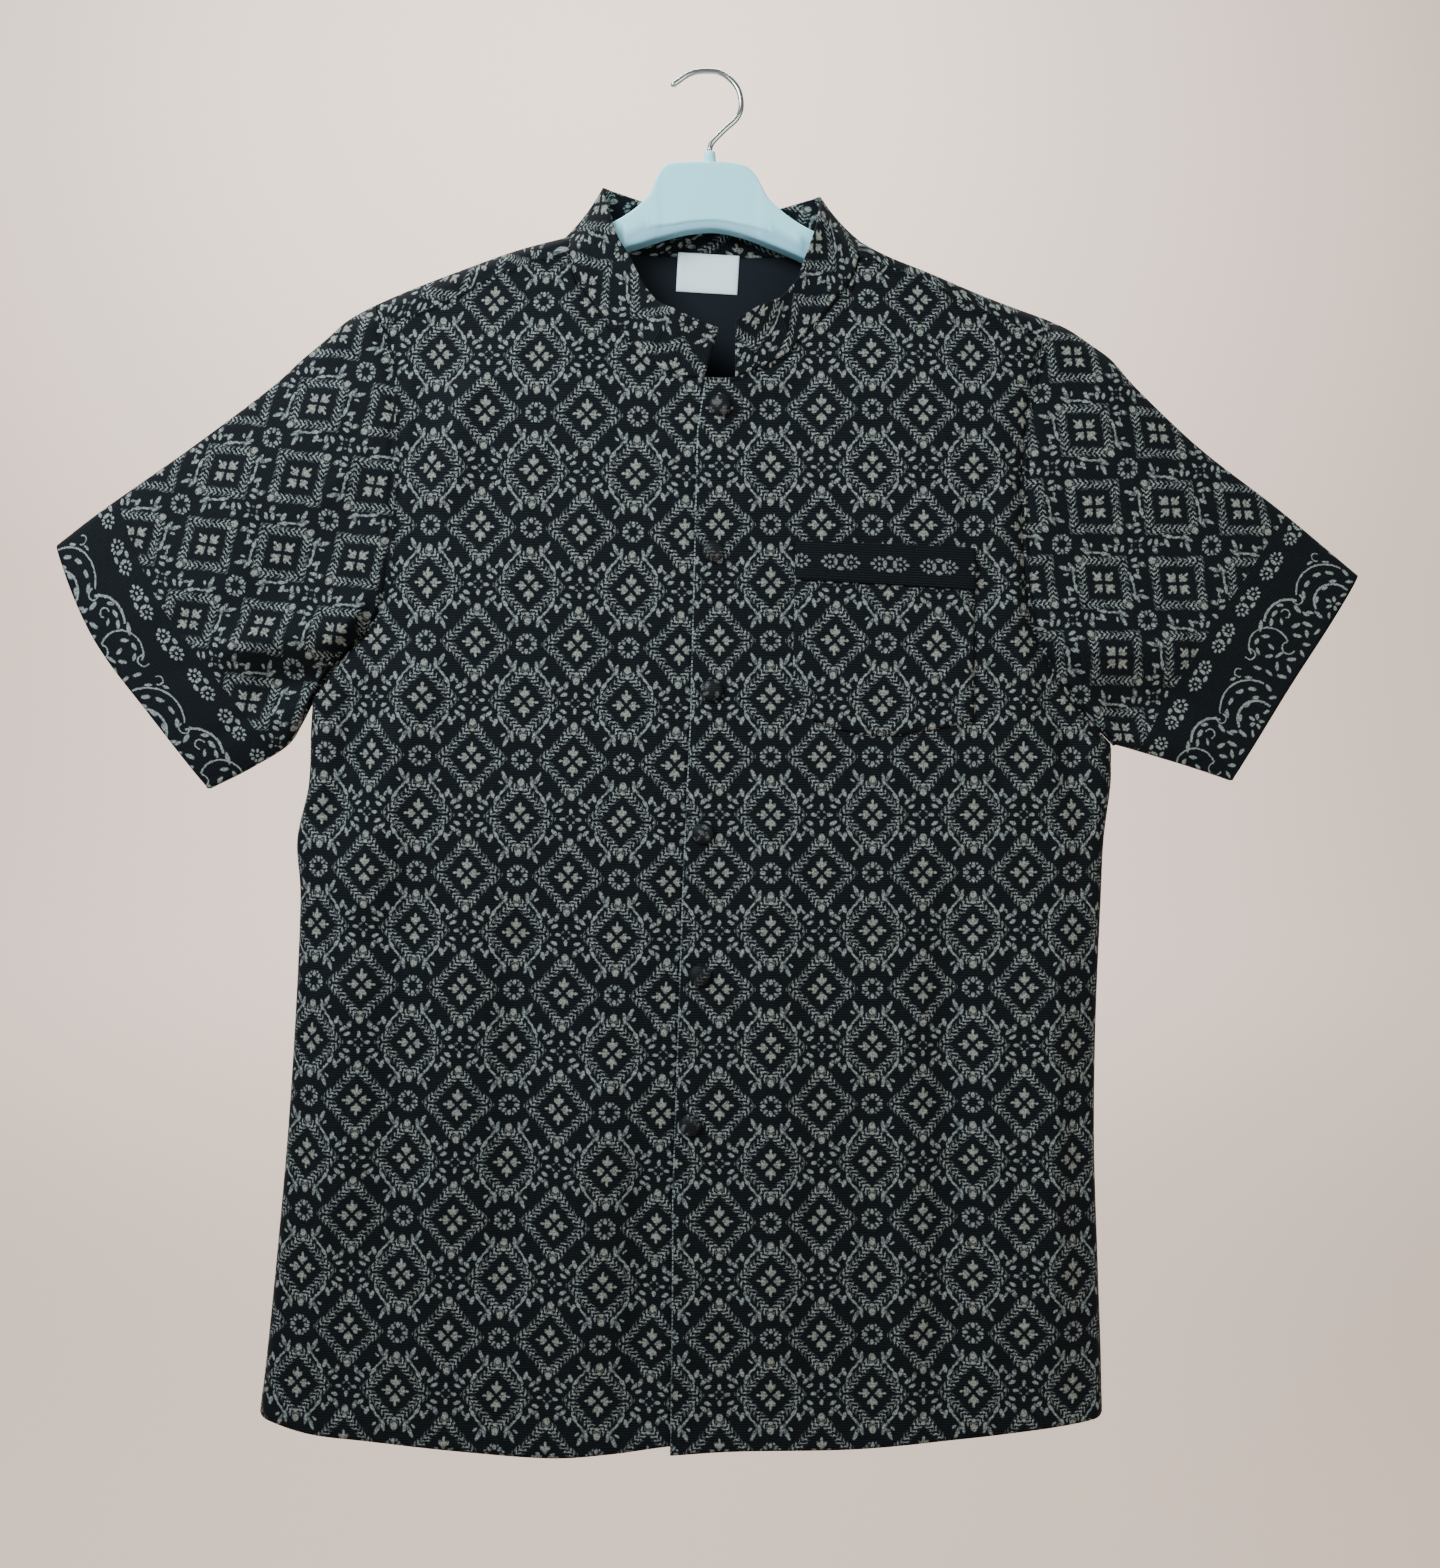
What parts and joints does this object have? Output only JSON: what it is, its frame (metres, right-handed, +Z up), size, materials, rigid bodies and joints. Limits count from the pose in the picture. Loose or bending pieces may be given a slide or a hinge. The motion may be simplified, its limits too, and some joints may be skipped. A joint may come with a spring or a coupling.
{
  "type": "mandarin collar shirt on a hanger",
  "caption": "Short-sleeved shirt with a standing collar, a patch pocket and a buttoned front, hung flat on its hanger.",
  "frame": {"origin": "inner top of the hanger's hook, where a rail or peg carries it", "axes": "+Z up, the shirt's front faces -Y, the wearer's right side is at -X"},
  "size_m": [0.8459, 0.0526, 0.892],
  "materials": {
    "printed_cloth": "soft matt woven cloth, near black with a small khaki print",
    "border_cloth": "plain near-black border of the same cloth",
    "lining": "plain black lining",
    "label": "white woven satin, left bare",
    "hanger_plastic": "moulded white plastic with a soft gloss",
    "hook_wire": "plated steel wire"
  },
  "bodies": {
    "root": {"front_left": "printed_cloth", "front_right": "printed_cloth", "back": "printed_cloth", "sleeve_left": "printed_cloth", "sleeve_right": "printed_cloth", "collar": "printed_cloth", "pocket": "printed_cloth", "button_1": "printed_cloth", "button_2": "printed_cloth", "button_3": "printed_cloth", "button_4": "printed_cloth", "button_5": "printed_cloth", "button_6": "printed_cloth", "pocket_band": "border_cloth", "back_lining": "lining", "label": "label", "hanger": "hanger_plastic", "hook_socket": "hanger_plastic", "hanger_hook": "hook_wire"}
  },
  "joints": []
}
